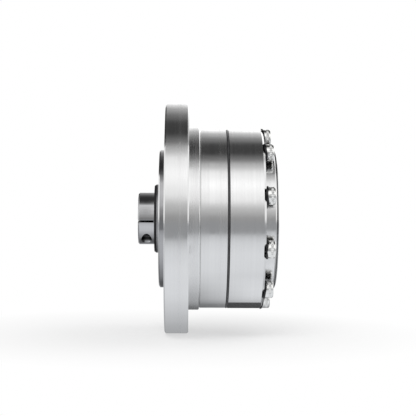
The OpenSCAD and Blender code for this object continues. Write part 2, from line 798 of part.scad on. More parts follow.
// Wall of the cup: oval at the teeth and round at the bottom, made of rings of points
module cup_side() {
  points_round = flex_teeth;
  rings = 7;
  x0 = tooth_end_x - 0.3;
  x1 = web_x - cup_floor / 2 - face_gap / 3;
  // Share of the bend that is left at ring i: it eases out along the wall
  function ease(i) = (1 + cos(180 * i / rings)) / 2;
  function wall_ring(i, r) = [
    for (j = [0:points_round - 1])
      let (
        angle = 360 * j / points_round,
        bent = oval_point(angle, r),
        p = ease(i) * bent + (1 - ease(i)) * r * [cos(angle), sin(angle)]
      )
      [p[0], p[1], x0 + (x1 - x0) * i / rings]
  ];
  inside = [for (i = [0:rings]) each wall_ring(i, flex_bore_r + (i == 0 ? cup_wall / 4 : 0))];
  outside = [for (i = [0:rings]) each wall_ring(i, cup_r)];
  layer = len(inside);
  // Two triangles between rings i and i + 1, from point j to the next
  function facet(i, j, base, flip) =
    let (
      a = base + i * points_round + j,
      b = base + i * points_round + (j + 1) % points_round,
      c = b + points_round,
      d = a + points_round
    )
    flip ? [[a, c, b], [a, d, c]] : [[a, b, c], [a, c, d]];
  // Two triangles across the wall at ring i
  function rim(i, j, flip) =
    let (
      a = i * points_round + j,
      b = i * points_round + (j + 1) % points_round,
      c = b + layer,
      d = a + layer
    )
    flip ? [[a, c, b], [a, d, c]] : [[a, b, c], [a, c, d]];
  side = [for (i = [0:rings - 1], j = [0:points_round - 1]) each facet(i, j, 0, false)];
  skin = [for (i = [0:rings - 1], j = [0:points_round - 1]) each facet(i, j, layer, true)];
  ends = [for (j = [0:points_round - 1]) each concat(rim(0, j, true), rim(rings, j, false))];
  polyhedron(points = concat(inside, outside), faces = concat(side, skin, ends));
}

// Thin cup with external teeth, bent to an oval at its open end
module flexspline() {
  bore = [for (j = [0:flex_teeth - 1]) oval_point(360 * j / flex_teeth, flex_bore_r)];
  floor_x = web_x - face_gap / 3;
  color("slategray") along_x() {
    translate([0, 0, flex_x]) linear_extrude(tooth_w) difference() {
      polygon(flex_outline());
      polygon(bore);
    }
    cup_side();
    difference() {
      union() {
        turned_ring(floor_x - cup_floor, floor_x, boss_in_r, cup_r + lip_gap);
        turned_ring(boss_x, web_x, boss_in_r, boss_out_r);
      }
      flex_screw_places() hole(boss_x - cut, web_x + cut, flex_screw_d / 2 + screw_play);
    }
  }
}

// Washer that clamps the cup's boss to the output ring
module flexspline_washer() {
  color("silver") along_x() difference() {
    turned_ring(washer_x, boss_x, boss_in_r, boss_out_r);
    flex_screw_places() hole(washer_x - cut, boss_x + cut, flex_screw_d / 2 + screw_play);
  }
}

// Depth of the flexspline screws' threads in the output ring
flex_tap = 1.5 * flex_screw_d;

// Screws that hold the flexspline to the output ring, with their heads inside the cup
module flexspline_screws() {
  color("dimgray") along_x() flex_screw_places() translate([0, 0, washer_x]) mirror([0, 0, 1])
    socket_screw(flex_screw_d, web_x - washer_x + flex_tap - 0.3, flex_screw_d * head_ratio, flex_screw_d,
      flex_screw_d * 0.8);
}

// Output ring: flange, web and inner ring of the crossed-roller bearing in one piece
module output_ring() {
  rim_r = screw_circle_r - washer_r - face_gap;
  rim_x = body_end_x + face_gap;
  face_x = out_face_x - face_h;
  color("silver") along_x() difference() {
    union() {
      turned_disc(outer_ring_x + 2 * face_gap, rim_x + cut, journal_r, edge_break, 0);
      turned_disc(rim_x, face_x, rim_r, 0, edge_break);
      turned_disc(face_x - cut, out_face_x, rim_r - face_step, 0, edge_break / 2);
    }
    hole(outer_ring_x - cut, web_x, ring_bore_r);
    turned_ring(web_x - cut, web_x + face_gap, boss_out_r + 0.4, ring_bore_r);
    roller_track();
    hole(out_face_x - recess_depth, out_face_x + cut, recess_d / 2);
    round_axis(out_taps, out_pcd / 2) hole(out_face_x - out_tap_depth, out_face_x + cut, out_tap_d / 2);
    flex_screw_places() hole(web_x - cut, web_x + flex_tap, flex_screw_d / 2);
  }
}

// Crossed rollers: each stands across the track, square to its neighbours
module crossed_rollers() {
  color("white") along_x() for (i = [0:rollers - 1])
    from_front(360 * i / rollers) translate([track_r, 0, track_x]) rotate([0, i % 2 == 0 ? 45 : -45, 0])
      cylinder(h = roller_l, r = roller_d / 2, center = true);
}

// Spacers between the rollers, each a short piece of a square ring
module roller_spacers() {
  half = track_half - 0.35;
  share = 0.24;
  sweep = 360 * share / rollers;
  color("khaki") along_x() for (i = [0:rollers - 1])
    from_front(360 * (i + 0.5) / rollers - sweep / 2) rotate_extrude(angle = sweep) polygon([
      [track_r - half, track_x], [track_r, track_x - half], [track_r + half, track_x], [track_r, track_x + half]
    ]);
}

motor_flange();
circular_spline();
flange_o_ring();
body_o_ring();
bearing_outer_ring();
roller_filling_plug();
filling_plug_pin();
housing_screws();
lock_washers();
output_oil_seal();
input_oil_seal();
input_bearing_outer_ring();
bearing_circlip();
input_hub();
clamp_screw();
input_bearing_inner_ring();
hub_circlip();
input_bearing_balls();
input_bearing_cage();
wave_generator_plug();
wave_generator_screws();
wave_bearing_inner_race();
wave_bearing_balls();
wave_bearing_cage();
wave_bearing_outer_race();
flexspline();
flexspline_washer();
flexspline_screws();
output_ring();
crossed_rollers();
roller_spacers();
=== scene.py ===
import math

import bmesh
import bpy
import numpy as np
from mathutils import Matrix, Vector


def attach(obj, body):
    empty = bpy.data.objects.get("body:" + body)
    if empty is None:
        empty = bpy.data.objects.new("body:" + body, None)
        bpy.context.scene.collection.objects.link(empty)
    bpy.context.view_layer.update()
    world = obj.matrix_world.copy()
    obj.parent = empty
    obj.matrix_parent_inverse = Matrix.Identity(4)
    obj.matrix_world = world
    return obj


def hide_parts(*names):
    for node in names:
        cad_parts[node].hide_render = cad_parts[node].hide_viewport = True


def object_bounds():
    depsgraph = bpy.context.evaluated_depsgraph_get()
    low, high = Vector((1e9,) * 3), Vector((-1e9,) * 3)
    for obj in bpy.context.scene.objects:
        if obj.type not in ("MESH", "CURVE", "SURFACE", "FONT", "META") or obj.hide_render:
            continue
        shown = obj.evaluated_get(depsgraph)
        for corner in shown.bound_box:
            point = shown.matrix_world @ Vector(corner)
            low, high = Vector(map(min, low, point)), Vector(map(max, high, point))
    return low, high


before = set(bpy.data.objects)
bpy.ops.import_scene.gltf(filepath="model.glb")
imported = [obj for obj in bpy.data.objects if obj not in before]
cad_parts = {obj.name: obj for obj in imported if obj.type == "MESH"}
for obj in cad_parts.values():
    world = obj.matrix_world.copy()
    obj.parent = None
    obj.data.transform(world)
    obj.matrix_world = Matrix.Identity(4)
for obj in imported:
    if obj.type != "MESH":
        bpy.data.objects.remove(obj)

cad_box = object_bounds()

# ---------------------------------------------------------------------------
# Mounting flange. One piece of tool steel, faced and turned on a lathe, with
# the pilot and the seal's seat on its input side and the screw holes drilled
# afterwards. The cut leaves fine rings round the axis on every turned face.
MM = 0.001
PILOT_R = 28 * MM
PILOT_WALL = 1.95 * MM
MOTOR_HOLES_R = 22 * MM
THREAD_R = 1.7 * MM
THREADS_FROM, THREADS_TO = -2.35 * MM, 5.7 * MM


def add_node(tree, kind, **settings):
    """A new node of a node tree, with its settings and its input values."""
    made = tree.nodes.new(kind)
    for key, value in settings.items():
        if key.startswith("in_"):
            made.inputs[key[3:].replace("_", " ")].default_value = value
        else:
            setattr(made, key, value)
    return made


def join(tree, source, output, target, socket):
    """A link from an output of one node to an input of another."""
    tree.links.new(source.outputs[output], target.inputs[socket])


def math_node(tree, operation, first, second=None):
    """A Math node. Each operand is a number, or a pair of node and output."""
    made = add_node(tree, "ShaderNodeMath", operation=operation)
    for place, operand in enumerate((first, second)):
        if isinstance(operand, tuple):
            tree.links.new(operand[0].outputs[operand[1]], made.inputs[place])
        elif operand is not None:
            made.inputs[place].default_value = operand
    return made


def product(tree, *factors):
    """A chain of Math nodes that multiplies pairs of node and output."""
    total = factors[0]
    for factor in factors[1:]:
        total = (math_node(tree, "MULTIPLY", total, factor), "Value")
    return total[0]


def ramp(tree, source, output, low, high, from_low=0.3, from_high=0.7):
    """A Map Range node that takes a value's range to another, from low to high."""
    made = add_node(
        tree, "ShaderNodeMapRange", in_From_Min=from_low, in_From_Max=from_high,
        in_To_Min=low, in_To_Max=high
    )
    join(tree, source, output, made, "Value")
    return made


def object_place(tree):
    """A point's place on the object, and the same place split into X, Y and Z."""
    where = add_node(tree, "ShaderNodeTexCoord")
    split = add_node(tree, "ShaderNodeSeparateXYZ")
    join(tree, where, "Object", split, "Vector")
    return where, split


def axis_distance(tree, split):
    """A point's distance from the main axis, which is the length of its Y and Z."""
    across = add_node(tree, "ShaderNodeCombineXYZ")
    join(tree, split, "Y", across, "X")
    join(tree, split, "Z", across, "Y")
    radius = add_node(tree, "ShaderNodeVectorMath", operation="LENGTH")
    join(tree, across, "Vector", radius, 0)
    return radius


def new_group(name, inputs, outputs):
    """An empty shader node group with named value sockets, and its two ends."""
    group = bpy.data.node_groups.new(name, "ShaderNodeTree")
    for title, value in inputs:
        socket = group.interface.new_socket(title, in_out="INPUT", socket_type="NodeSocketFloat")
        socket.default_value = value
    for title in outputs:
        group.interface.new_socket(title, in_out="OUTPUT", socket_type="NodeSocketFloat")
    return group, add_node(group, "NodeGroupInput"), add_node(group, "NodeGroupOutput")


def make_turned_lines():
    """Rings of a lathe cut: noise over the distance along the axis and the
    distance from the axis, so that it is the same all the way round. Lines is
    the fine feed, Bands its slow change, and Cloud a soft stain in space."""
    group, start, end = new_group(
        "turned_lines", [("Lines per metre", 1400.0)], ["Lines", "Bands", "Cloud"]
    )
    where, split = object_place(group)
    radius = axis_distance(group, split)
    flat = add_node(group, "ShaderNodeCombineXYZ")
    join(group, split, "X", flat, "X")
    join(group, radius, "Value", flat, "Y")
    for title, share, detail in (("Lines", 1.0, 3.0), ("Bands", 0.22, 1.0)):
        scale = math_node(group, "MULTIPLY", (start, "Lines per metre"), share)
        noise = add_node(
            group, "ShaderNodeTexNoise", noise_dimensions="2D", in_Detail=detail, in_Roughness=0.6
        )
        join(group, flat, "Vector", noise, "Vector")
        join(group, scale, "Value", noise, "Scale")
        join(group, noise, "Fac", end, title)
    cloud = add_node(group, "ShaderNodeTexNoise", in_Scale=45.0, in_Detail=4.0, in_Roughness=0.55)
    join(group, where, "Object", cloud, "Vector")
    join(group, cloud, "Fac", end, "Cloud")
    return group


turned_lines = make_turned_lines()


def new_material(name):
    """A material with its node tree and its shader."""
    material = bpy.data.materials.new(name)
    material.use_nodes = True
    return material, material.node_tree, material.node_tree.nodes["Principled BSDF"]


def shade_between(tree, shader, mask, dark, pale):
    """Feeds the base colour with a mix of two shades by a mask from 0 to 1."""
    colour = add_node(tree, "ShaderNodeMix", data_type="RGBA")
    colour.inputs["A"].default_value = (*dark, 1.0)
    colour.inputs["B"].default_value = (*pale, 1.0)
    tree.links.new(mask.outputs["Result"], colour.inputs["Factor"])
    tree.links.new(colour.outputs["Result"], shader.inputs["Base Color"])


def relief(tree, shader, source, output, depth):
    """Feeds the normal with a height in metres."""
    bump = add_node(tree, "ShaderNodeBump", in_Distance=depth, in_Strength=1.0)
    join(tree, source, output, bump, "Height")
    join(tree, bump, "Normal", shader, "Normal")


def cut_metal(name, pale, dark, rough, spread, lines, line_depth, anisotropic=0.0):
    """A bare cut metal: two shades by the cut's lines and stains, a roughness
    that changes with both, the lines as a fine relief, and a gloss drawn out
    across the lines, as grooves round an axis draw it."""
    material, tree, shader = new_material(name)
    shader.inputs["Metallic"].default_value = 1.0
    shader.inputs["Anisotropic"].default_value = anisotropic
    shader.inputs["Anisotropic Rotation"].default_value = 0.25
    cut = add_node(tree, "ShaderNodeGroup", node_tree=turned_lines)
    cut.inputs["Lines per metre"].default_value = lines
    shade = math_node(tree, "ADD", (cut, "Lines"), (cut, "Bands"))
    shade = math_node(tree, "ADD", (shade, "Value"), (cut, "Cloud"))
    shade_between(tree, shader, ramp(tree, shade, "Value", 0.0, 1.0, 1.1, 1.9), dark, pale)
    gloss = ramp(tree, shade, "Value", rough + spread, rough - spread, 1.1, 1.9)
    join(tree, gloss, "Result", shader, "Roughness")
    relief(tree, shader, cut, "Lines", line_depth)
    tangent = add_node(tree, "ShaderNodeTangent", direction_type="RADIAL", axis="X")
    join(tree, tangent, "Tangent", shader, "Tangent")
    return material


def make_band_mask():
    """1 on a band round the axis, between two radii and two places along X."""
    group, start, end = new_group(
        "band_mask",
        [("From radius", 0.0), ("To radius", 1.0), ("From X", 0.0), ("To X", 1.0)], ["Mask"]
    )
    split = object_place(group)[1]
    radius = (axis_distance(group, split), "Value")
    along = (split, "X")
    inside = product(group, *[
        (math_node(group, operation, value, (start, limit)), "Value")
        for operation, value, limit in (
            ("GREATER_THAN", radius, "From radius"), ("LESS_THAN", radius, "To radius"),
            ("GREATER_THAN", along, "From X"), ("LESS_THAN", along, "To X")
        )
    ])
    join(group, inside, "Value", end, "Mask")
    return group


band_mask = make_band_mask()


def lay_over(material, mask, output, socket, value):
    """Lays a value over what a shader's socket has, where the mask is 1. The
    value is a number, a colour, or a pair of node and output."""
    tree = material.node_tree
    target = tree.nodes["Principled BSDF"].inputs[socket]
    is_colour = target.type == "RGBA"
    mix = add_node(tree, "ShaderNodeMix", data_type="RGBA" if is_colour else "FLOAT")
    below, above = [item for item in mix.inputs if item.enabled and item.name in ("A", "B")]
    if target.is_linked:
        tree.links.new(target.links[0].from_socket, below)
    else:
        below.default_value = target.default_value
    if isinstance(value, tuple) and len(value) == 2:
        tree.links.new(value[0].outputs[value[1]], above)
    else:
        above.default_value = value
    join(tree, mask, output, mix, "Factor")
    result = [item for item in mix.outputs if item.enabled][0]
    tree.links.new(result, target)


def band_of(material, radii, places):
    """The mask of a band round the axis, as a node of a material."""
    band = add_node(material.node_tree, "ShaderNodeGroup", node_tree=band_mask)
    for title, value in zip(("From radius", "To radius", "From X", "To X"), (*radii, *places)):
        band.inputs[title].default_value = value
    return band


def dress(node, material):
    """Gives a CAD node its finish."""
    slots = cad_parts[node].data.materials
    slots.clear()
    slots.append(material)


def turned(name):
    """The finish of all turned steel on the housing and the output side."""
    return cut_metal(
        name, pale=(0.83, 0.83, 0.83), dark=(0.80, 0.80, 0.80), rough=0.20, spread=0.09,
        lines=1400.0, line_depth=1.2e-6, anisotropic=0.55
    )


flange_steel = turned("flange_steel")
pilot = band_of(flange_steel, (PILOT_R - 0.05 * MM, PILOT_R + 0.05 * MM), (-PILOT_WALL, 0))
lay_over(flange_steel, pilot, "Mask", "Base Color", (0.45, 0.45, 0.46, 1))
lay_over(flange_steel, pilot, "Mask", "Roughness", 0.11)
# Painted shade: the walls of the tapped motor holes are painted dark, for the shade inside them.
thread_shade = band_of(
    flange_steel, (MOTOR_HOLES_R - THREAD_R, MOTOR_HOLES_R + THREAD_R), (THREADS_FROM, THREADS_TO)
)
lay_over(flange_steel, thread_shade, "Mask", "Base Color", (0.10, 0.10, 0.10, 1))
lay_over(flange_steel, thread_shade, "Mask", "Roughness", 0.5)
dress("motor_flange", flange_steel)

# ---------------------------------------------------------------------------
# Ring gear. A ring of the same steel with the internal teeth of the circular
# spline, held between the flange and the outer ring by the housing screws.
dress("circular_spline", turned("turned_steel"))

# ---------------------------------------------------------------------------
# O-rings. Black nitrile, one in the flange's face and one in the joint to the
# outer ring, where its edge shows as a dark line round the body.


def make_rubber_grain():
    """Moulded rubber: a fine grain and a slower bloom of dust."""
    group, start, end = new_group("rubber_grain", [("Grain per metre", 4000.0)], ["Grain", "Bloom"])
    where = add_node(group, "ShaderNodeTexCoord")
    for title, share in (("Grain", 1.0), ("Bloom", 0.06)):
        scale = math_node(group, "MULTIPLY", (start, "Grain per metre"), share)
        noise = add_node(group, "ShaderNodeTexNoise", in_Detail=3.0)
        join(group, where, "Object", noise, "Vector")
        join(group, scale, "Value", noise, "Scale")
        join(group, noise, "Fac", end, title)
    return group


rubber_grain = make_rubber_grain()


def moulded(name, dark, pale, rough, grain, depth):
    """Moulded rubber or plastic: two shades by the bloom, and a fine relief."""
    material, tree, shader = new_material(name)
    skin = add_node(tree, "ShaderNodeGroup", node_tree=rubber_grain)
    skin.inputs["Grain per metre"].default_value = grain
    shade_between(tree, shader, ramp(tree, skin, "Bloom", 0.0, 1.0, 0.35, 0.75), dark, pale)
    gloss = ramp(tree, skin, "Bloom", rough - 0.06, rough + 0.06)
    join(tree, gloss, "Result", shader, "Roughness")
    relief(tree, shader, skin, "Grain", depth)
    return material


gray_rubber = moulded(
    "gray_rubber", dark=(0.035, 0.035, 0.037), pale=(0.06, 0.06, 0.062), rough=0.32,
    grain=4000.0, depth=3e-6
)
dress("flange_o_ring", gray_rubber)
dress("body_o_ring", gray_rubber)

# ---------------------------------------------------------------------------
# Outer ring of the crossed-roller bearing, with the plug that closes the hole
# for the rollers and the pin that locks it. All of hardened bearing steel,
# turned outside like the ring gear. The milled flat is coloured dark and dull.
FLAT_TURN = math.radians(74)
FLAT_AWAY = 35.88 * MM
CUTTER_MARKS = (120, 1800, 1800)


def distance_along(tree, where, direction):
    """A point's distance from the origin along a direction of length 1."""
    along = add_node(tree, "ShaderNodeVectorMath", operation="DOT_PRODUCT")
    join(tree, where, "Object", along, 0)
    along.inputs[1].default_value = direction
    return along


def darken_flat(material):
    """Makes a flat dark, dull and not metallic: where a point's distance along the
    flat's normal is the flat's own distance from the axis. Fine marks of the
    cutter run along X."""
    tree = material.node_tree
    where = add_node(tree, "ShaderNodeTexCoord")
    along = distance_along(tree, where, (0, -math.cos(FLAT_TURN), -math.sin(FLAT_TURN)))
    off = math_node(tree, "SUBTRACT", (along, "Value"), FLAT_AWAY)
    off = math_node(tree, "ABSOLUTE", (off, "Value"))
    on_flat = ramp(tree, off, "Value", 1.0, 0.0, 0.02 * MM, 0.05 * MM)
    drawn = add_node(tree, "ShaderNodeVectorMath", operation="MULTIPLY")
    join(tree, where, "Object", drawn, 0)
    drawn.inputs[1].default_value = CUTTER_MARKS
    marks = add_node(tree, "ShaderNodeTexNoise", in_Scale=1.0, in_Detail=2.0)
    join(tree, drawn, "Vector", marks, "Vector")
    rough = ramp(tree, marks, "Fac", 0.50, 0.68)
    lay_over(material, on_flat, "Result", "Base Color", (0.045, 0.045, 0.047, 1))
    lay_over(material, on_flat, "Result", "Metallic", 0.0)
    lay_over(material, on_flat, "Result", "Roughness", (rough, "Result"))


outer_ring_steel = turned("outer_ring_steel")
darken_flat(outer_ring_steel)
dress("bearing_outer_ring", outer_ring_steel)
dress("roller_filling_plug", outer_ring_steel)
bright_steel = cut_metal(
    "bright_steel", pale=(0.82, 0.82, 0.83), dark=(0.74, 0.74, 0.76), rough=0.10, spread=0.03,
    lines=5000.0, line_depth=2e-7
)
dress("filling_plug_pin", bright_steel)

# ---------------------------------------------------------------------------
# Housing screws. Ten low socket-head screws of stainless steel on black spring
# washers. The side of each head is knurled, and its edges are rounded.
SCREWS = 10
SCREW_TURN = math.radians(20)
SCREW_CIRCLE = 32.999 * MM
SEAT = 39.807 * MM
WASHER_TOP_BEND = 12.6 * MM
OWN_TURN = 0.7
SHANK_R = 1.98 * MM
SHANK_L = 35 * MM
TIP_R = 0.8 * SHANK_R
TIP_BEVEL = 0.4 * MM
HEAD_R = 3.5 * MM
HEAD_H = 2.8 * MM
EDGE_R = 0.975 * HEAD_R
FOOT_R = 0.94 * HEAD_R
FOOT_BEVEL = 0.12 * MM
KNURL_R = 0.985 * HEAD_R
KNURL_FROM = 0.30 * HEAD_H
KNURL_L = 0.42 * HEAD_H
RIDGES = 30
RIDGE_DEPTH = 0.18 * MM
CROWN = 0.65 * MM
SOCKET_R = 1.25 * MM
SOCKET_BEVEL = 0.18 * MM
SOCKET_BEVEL_H = 0.16 * MM
SOCKET_WALL_END = 0.5 * HEAD_H
SOCKET_POINT = 0.42 * HEAD_H
SOCKET_ROWS = 3
SEAT_FIT = 0.3 * HEAD_H
SHARP_TURN = math.radians(50)
MERGE = 1e-7
GAP_SHADE_FULL_R, GAP_SHADE_END_R = 30.7 * MM, 32.7 * MM
GAP_SHADE_END = SEAT + 0.8 * HEAD_H
GAP_SHADE_FADE = 0.2 * MM


def grid_mesh(name, grids, closed=True):
    """A mesh from one or more grids of points, each of rows by columns, with a
    quad from each point to the next column and the next row. Where the columns
    close on themselves, the last is joined to the first."""
    count, rows, columns = grids.shape[:3]
    here = np.arange(count * rows * columns).reshape(count, rows, columns)
    beside = np.roll(here, -1, 2)
    quads = np.stack([here[:, :-1], beside[:, :-1], beside[:, 1:], here[:, 1:]], -1)
    if not closed:
        quads = quads[:, :, :-1]
    mesh = bpy.data.meshes.new(name)
    mesh.from_pydata(grids.reshape(-1, 3).tolist(), [], quads.reshape(-1, 4).tolist())
    return mesh


def close_poles(mesh):
    """Merges points that coincide, so that an end row of radius 0 is one point."""
    shell = bmesh.new()
    shell.from_mesh(mesh)
    bmesh.ops.remove_doubles(shell, verts=shell.verts, dist=MERGE)
    shell.to_mesh(mesh)
    shell.free()


def screw_points():
    """One screw along +X, between two poles: radius over the row's height and
    the turn. The side follows ridges, a cosine round the head that fades at both
    ends. The crown is a quarter of a circle, and the socket a hexagon, its inner
    radius over the cosine of the turn from the middle of a side."""
    turn = np.linspace(0, 2 * np.pi, RIDGES * 6, endpoint=False)
    side = (turn + np.pi / 6) % (np.pi / 3) - np.pi / 6
    ridge = 0.5 - 0.5 * np.cos(RIDGES * turn)
    round_row = np.ones_like(turn)
    hexagon = SOCKET_R / np.cos(side)
    rows = [
        (-SHANK_L, round_row * 0),
        (-SHANK_L, round_row * TIP_R),
        (-SHANK_L + TIP_BEVEL, round_row * SHANK_R),
        (0, round_row * SHANK_R),
        (0, round_row * FOOT_R),
        (FOOT_BEVEL, round_row * EDGE_R),
    ]
    for share in np.linspace(0, 1, 9):
        fade = min(1, 5 * share, 5 * (1 - share))
        rows.append((KNURL_FROM + KNURL_L * share, KNURL_R - ridge * RIDGE_DEPTH * fade))
    for step in np.linspace(0, np.pi / 2, 8):
        rows.append((
            HEAD_H - CROWN + CROWN * np.sin(step),
            round_row * (EDGE_R - CROWN * (1 - np.cos(step)))
        ))
    rows += [
        (HEAD_H, hexagon + SOCKET_BEVEL),
        (HEAD_H - SOCKET_BEVEL_H, hexagon),
        (SOCKET_WALL_END, hexagon),
        (SOCKET_POINT, round_row * 0),
    ]
    height = np.array([row[0] for row in rows])[:, None] * round_row
    radius = np.array([row[1] for row in rows])
    return np.stack([height, radius * np.cos(turn), radius * np.sin(turn)], -1)


def make_housing_screws():
    """All the screws. Near its seat a head's underside follows the bent washer:
    it lies lower by the bend's radius less the root of that radius squared less
    the distance from the screw's axis, along the main radius, squared."""
    one = screw_points()
    x, y, z = one[..., 0], one[..., 1], one[..., 2]
    near_seat = np.where(x >= 0, np.clip(1 - x / SEAT_FIT, 0, 1), 0)
    number = np.arange(SCREWS)[:, None, None]
    angle = SCREW_TURN + 2 * np.pi * number / SCREWS
    own = OWN_TURN * number
    turned_y = y * np.cos(own) - z * np.sin(own)
    turned_z = y * np.sin(own) + z * np.cos(own)
    out = turned_y * np.cos(angle) + turned_z * np.sin(angle)
    sag = near_seat * (WASHER_TOP_BEND - np.sqrt(WASHER_TOP_BEND ** 2 - out ** 2))
    mesh = grid_mesh("knurled_screws", np.stack([
        x - sag + SEAT,
        turned_y - SCREW_CIRCLE * np.cos(angle),
        turned_z - SCREW_CIRCLE * np.sin(angle),
    ], -1))
    in_socket = np.zeros((SCREWS, *x.shape))
    in_socket[:, -SOCKET_ROWS:] = 1
    mesh.attributes.new("in_socket", "FLOAT", "POINT").data.foreach_set("value", in_socket.ravel())
    close_poles(mesh)
    mesh.shade_smooth()
    mesh.set_sharp_from_angle(angle=SHARP_TURN)
    made = bpy.data.objects.new("knurled_screws", mesh)
    bpy.context.scene.collection.objects.link(made)
    return made


def paint_gap_shade(material):
    """Painted shade in the gap between the heads and the output ring: the heads are
    painted dark there, full at one distance from the main axis and gone at the
    other, up to a place along X near the heads' tops."""
    tree = material.node_tree
    split = object_place(tree)[1]
    radius = axis_distance(tree, split)
    near = ramp(tree, radius, "Value", 1.0, 0.0, GAP_SHADE_FULL_R, GAP_SHADE_END_R)
    lower = ramp(tree, split, "X", 1.0, 0.0, GAP_SHADE_END - GAP_SHADE_FADE, GAP_SHADE_END)
    gap_shade = product(tree, (near, "Result"), (lower, "Result"))
    lay_over(material, gap_shade, "Value", "Base Color", (0.06, 0.058, 0.055, 1))


screw_steel = cut_metal(
    "screw_steel", pale=(0.95, 0.95, 0.93), dark=(0.80, 0.80, 0.79), rough=0.20, spread=0.06,
    lines=3000.0, line_depth=1e-6
)
# Painted shade on the sides of the heads that face the axis.
paint_gap_shade(screw_steel)
# Painted shade: the hex sockets are painted dark, for the shade inside them.
socket = add_node(screw_steel.node_tree, "ShaderNodeAttribute", attribute_name="in_socket")
lay_over(screw_steel, socket, "Fac", "Base Color", (0.22, 0.22, 0.22, 1))
knurled_screws = make_housing_screws()
knurled_screws.data.materials.append(screw_steel)
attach(knurled_screws, "housing")
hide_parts("housing_screws")
black_screw_steel = cut_metal(
    "black_screw_steel", pale=(0.055, 0.055, 0.058), dark=(0.03, 0.03, 0.031), rough=0.38,
    spread=0.08, lines=3000.0, line_depth=1e-6
)
dress("lock_washers", black_screw_steel)

# ---------------------------------------------------------------------------
# Seals. Moulded rubber: the shaft seal stands out of the pilot round the hub,
# with a steel case at its rim, and the output seal lies between the bearing's
# two rings.
CASE_R, CASE_END_R = 13.5 * MM, 20 * MM
CASE_FROM, CASE_TO = -3.4 * MM, 2 * MM


def seal_rubber(name):
    """Black rubber with little gloss."""
    rubber = moulded(
        name, dark=(0.012, 0.012, 0.013), pale=(0.03, 0.03, 0.031), rough=0.5,
        grain=4000.0, depth=6e-6
    )
    rubber.node_tree.nodes["Principled BSDF"].inputs["Specular IOR Level"].default_value = 0.16
    return rubber


dress("output_oil_seal", seal_rubber("black_rubber"))
cased_rubber = seal_rubber("cased_rubber")
case = band_of(cased_rubber, (CASE_R, CASE_END_R), (CASE_FROM, CASE_TO))
lay_over(cased_rubber, case, "Mask", "Base Color", (0.45, 0.45, 0.46, 1))
lay_over(cased_rubber, case, "Mask", "Metallic", 1.0)
dress("input_oil_seal", cased_rubber)

# ---------------------------------------------------------------------------
# Input bearing. A deep-groove ball bearing of ground steel, with a moulded
# cage, held in the flange and on the hub by two phosphated snap rings.
cage_plastic = moulded(
    "cage_plastic", dark=(0.62, 0.56, 0.40), pale=(0.80, 0.74, 0.55), rough=0.42,
    grain=2500.0, depth=3e-6
)
spring_steel = cut_metal(
    "spring_steel", pale=(0.24, 0.24, 0.25), dark=(0.13, 0.13, 0.14), rough=0.38, spread=0.08,
    lines=2500.0, line_depth=1e-6
)
for ring in ("input_bearing_outer_ring", "input_bearing_inner_ring", "input_bearing_balls"):
    dress(ring, bright_steel)
dress("input_bearing_cage", cage_plastic)
dress("bearing_circlip", spring_steel)
dress("hub_circlip", spring_steel)

# ---------------------------------------------------------------------------
# Clamp hub and its screw. Hub and input shaft are one ground piece, slit at
# the end so that the screw across the slit closes it on the motor's shaft. Its
# front edge is broken, and duller than the ground side.
HUB_R = 10.5 * MM
HUB_FRONT = -10.9 * MM
EDGE_W = 0.6 * MM
EDGE_L = 0.55 * MM
EDGE_SPARE = 0.1 * MM
BORE_R = 4.05 * MM
BORE_FROM, BORE_TO = -10.7 * MM, 12 * MM
CLAMP_TURN = math.radians(6)
CLAMP_OFFSET = 7.1 * MM
CLAMP_X = -7.5 * MM
POCKET_R = 2.13 * MM
POCKET_SHADE_START = (6.0 * MM, 6.9 * MM)
POCKET_SHADE_END = (7.9 * MM, 8.7 * MM)
SLIT_HALF = 0.416 * MM
SLIT_FROM_R = 3.9 * MM
SLIT_END = -4.6 * MM


def darken_clamp(material):
    """Painted shade in the slit, and in the clamp screw's pocket below its lip, both
    painted dark. Out is the distance from the main axis in the slit's plane, and
    below the one from that plane towards the screw's head. The pocket is where the
    distance from the screw's own axis, the length of X and out from it, is less
    than its radius, and the slit is where below is less than half its width."""
    tree = material.node_tree
    where, split = object_place(tree)
    out = distance_along(tree, where, (0, -math.cos(CLAMP_TURN), -math.sin(CLAMP_TURN)))
    below = distance_along(tree, where, (0, math.sin(CLAMP_TURN), -math.cos(CLAMP_TURN)))
    across = add_node(tree, "ShaderNodeCombineXYZ")
    join(tree, math_node(tree, "SUBTRACT", (split, "X"), CLAMP_X), "Value", across, "X")
    join(tree, math_node(tree, "SUBTRACT", (out, "Value"), CLAMP_OFFSET), "Value", across, "Y")
    away = add_node(tree, "ShaderNodeVectorMath", operation="LENGTH")
    join(tree, across, "Vector", away, 0)
    pocket = product(
        tree,
        (math_node(tree, "LESS_THAN", (away, "Value"), POCKET_R), "Value"),
        (ramp(tree, below, "Value", 0.0, 1.0, *POCKET_SHADE_START), "Result"),
        (ramp(tree, below, "Value", 1.0, 0.0, *POCKET_SHADE_END), "Result")
    )
    beside = math_node(tree, "ABSOLUTE", (below, "Value"))
    slit = product(
        tree,
        (math_node(tree, "LESS_THAN", (beside, "Value"), SLIT_HALF), "Value"),
        (math_node(tree, "GREATER_THAN", (out, "Value"), SLIT_FROM_R), "Value"),
        (math_node(tree, "LESS_THAN", (split, "X"), SLIT_END), "Value")
    )
    shaded = math_node(tree, "MAXIMUM", (pocket, "Value"), (slit, "Value"))
    lay_over(material, shaded, "Value", "Base Color", (0.035, 0.035, 0.035, 1))
    lay_over(material, shaded, "Value", "Roughness", 0.4)


def ground(name, pale, dark):
    """The finish of ground steel on the input side."""
    return cut_metal(
        name, pale, dark, rough=0.07, spread=0.02, lines=6000.0, line_depth=2e-7, anisotropic=0.2
    )


